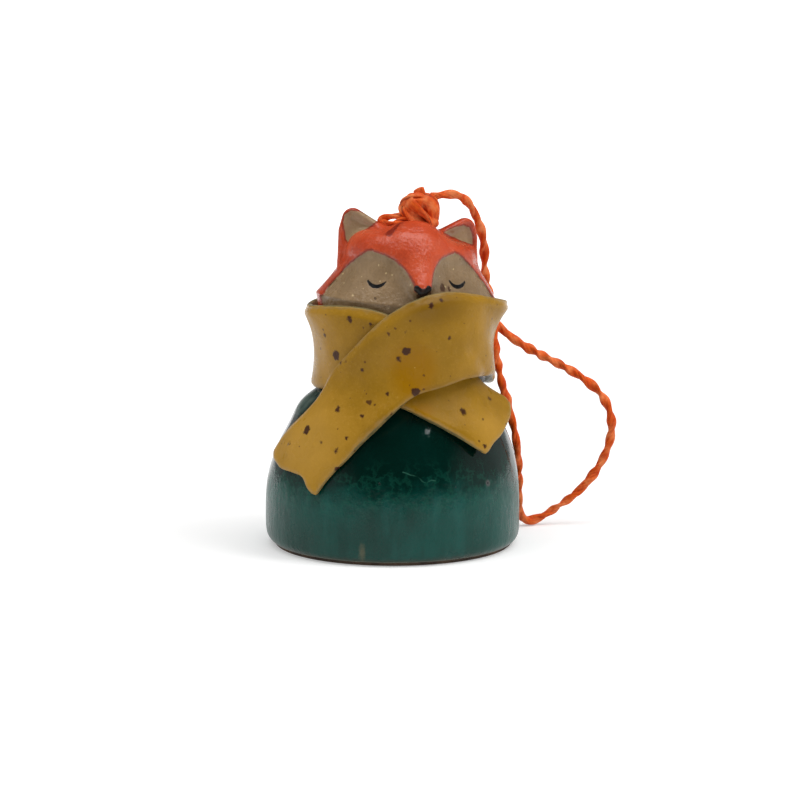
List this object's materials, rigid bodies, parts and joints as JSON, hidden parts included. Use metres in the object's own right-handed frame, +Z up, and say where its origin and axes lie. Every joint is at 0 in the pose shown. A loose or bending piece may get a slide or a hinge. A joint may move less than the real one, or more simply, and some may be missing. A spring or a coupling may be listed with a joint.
{
  "type": "fox bell figurine",
  "caption": "Glazed ceramic fox bell with a crossed scarf, a hollow body that stands on its open foot, a clapper bead on a cord inside and a twisted cord loop to hang it by.",
  "frame": {"origin": "centre of the foot ring, on the surface that the bell stands on", "axes": "+Z up through the crown, the fox faces -Y, +X is the fox's own left"},
  "size_m": [0.0812, 0.056, 0.0777],
  "materials": {
    "green_glaze": "deep green gloss glaze with darker pools, bare brown foot rim",
    "coral_glaze": "coral orange gloss glaze with greige patches on the face and in the ears",
    "dark_glaze": "near-black underglaze",
    "mustard_glaze": "mustard gloss glaze with brown iron specks",
    "orange_cord": "twisted paper cord",
    "bare_clay": "unglazed stoneware"
  },
  "bodies": {
    "bell": {"bell_body": "green_glaze", "head": "coral_glaze", "ear_left": "coral_glaze", "ear_right": "coral_glaze", "nose": "dark_glaze", "scarf_over": "mustard_glaze", "scarf_under": "mustard_glaze", "top_knot": "orange_cord", "cord_tail": "orange_cord", "hanging_loop": "orange_cord"},
    "stopper": {"stopper_knot": "orange_cord"},
    "clapper": {"clapper_cord": "orange_cord", "clapper_bead": "bare_clay", "clapper_knot": "orange_cord"}
  },
  "joints": [
    {"name": "clapper_swing_side", "type": "hinge", "parent": "bell", "child": "stopper", "pos_m": [0.0049, 0, 0.06224], "axis": [0, 1, 0], "range_deg": [-11, 18]},
    {"name": "clapper_swing_front", "type": "hinge", "parent": "stopper", "child": "clapper", "pos_m": [0.0049, 0, 0.06224], "axis": [1, 0, 0], "range_deg": [-11, 11]}
  ]
}
